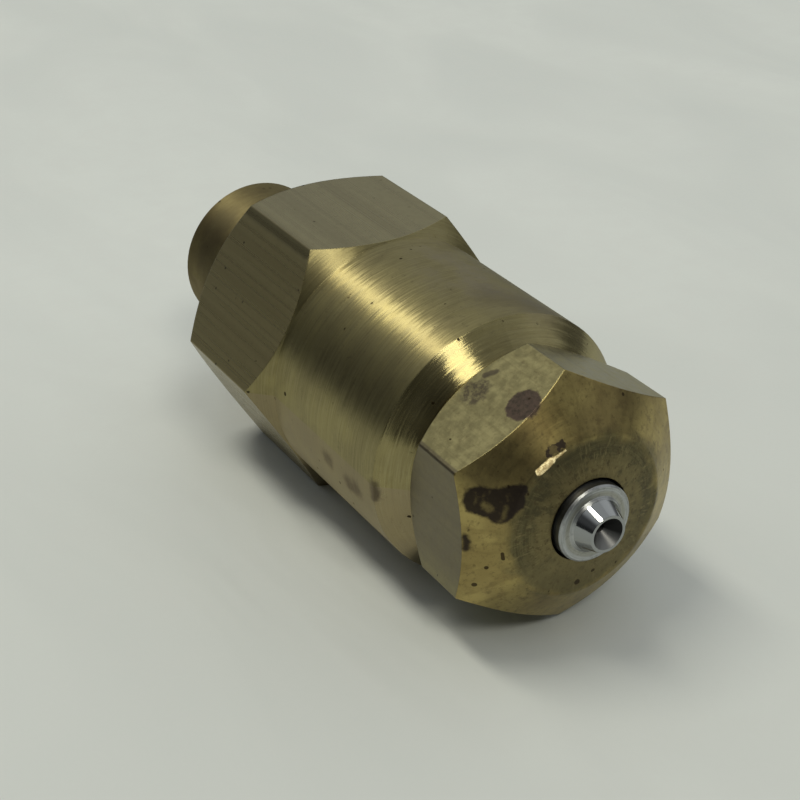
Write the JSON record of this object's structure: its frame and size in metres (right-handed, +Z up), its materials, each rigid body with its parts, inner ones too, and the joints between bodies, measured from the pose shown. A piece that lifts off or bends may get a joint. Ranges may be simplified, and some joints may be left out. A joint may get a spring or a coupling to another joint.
{
  "type": "oil burner nozzle",
  "caption": "Brass pressure-atomising oil nozzle: hexagon holder with an anti-drip ball valve and a screw-in spray head with swirl core, orifice insert and strainer.",
  "frame": {"origin": "centre of the inlet end of the holder, on the nozzle's axis", "axes": "+X along the axis from the inlet to the spray tip, +Z up from the hexagon flat it lies on"},
  "size_m": [0.0476, 0.022, 0.019],
  "materials": {
    "brass_bar": "drawn and turned bar, tarnished",
    "brass_head": "drawn and turned bar, tarnished and stained",
    "brass_turned": "clean turned",
    "stainless": "fine turned stainless steel",
    "steel_ball": "polished stainless ball",
    "spring_wire": "drawn spring wire",
    "rubber_black": "moulded fluoroelastomer",
    "gasket_white": "plain PTFE sheet",
    "bronze_gauze": "woven phosphor-bronze wire"
  },
  "bodies": {
    "holder": {"holder_body": "brass_bar", "valve_seat": "brass_turned", "seat_o_ring": "rubber_black", "check_spring": "spring_wire", "spring_retainer": "brass_turned", "retaining_ring": "spring_wire"},
    "valve_ball": {"check_ball": "steel_ball"},
    "orifice": {"orifice_insert": "stainless"},
    "head": {"nozzle_cap": "brass_head", "swirl_core": "stainless", "lock_screw": "brass_turned", "strainer_ferrule": "brass_turned", "strainer_gasket": "gasket_white", "strainer_core": "brass_turned", "strainer_screen": "bronze_gauze", "screen_collars": "brass_turned", "strainer_end_cap": "brass_turned"}
  },
  "joints": [
    {"name": "head_travel", "type": "slide", "parent": "holder", "child": "orifice", "axis": [1, 0, 0], "range_m": [0, 0.00529]},
    {"name": "head_turn", "type": "hinge", "parent": "orifice", "child": "head", "pos_m": [0.04, 0, 0], "axis": [1, 0, 0], "range_deg": [0, 1800]},
    {"name": "ball_lift", "type": "slide", "parent": "holder", "child": "valve_ball", "axis": [1, 0, 0], "range_m": [0, 0.0008], "stiffness_N_per_m": 300, "springref_m": -0.001, "deforming": ["check_spring"]}
  ],
  "couplings": [
    {"joint": "head_turn", "follows": "head_travel", "rad_per_m": 5936.9}
  ]
}
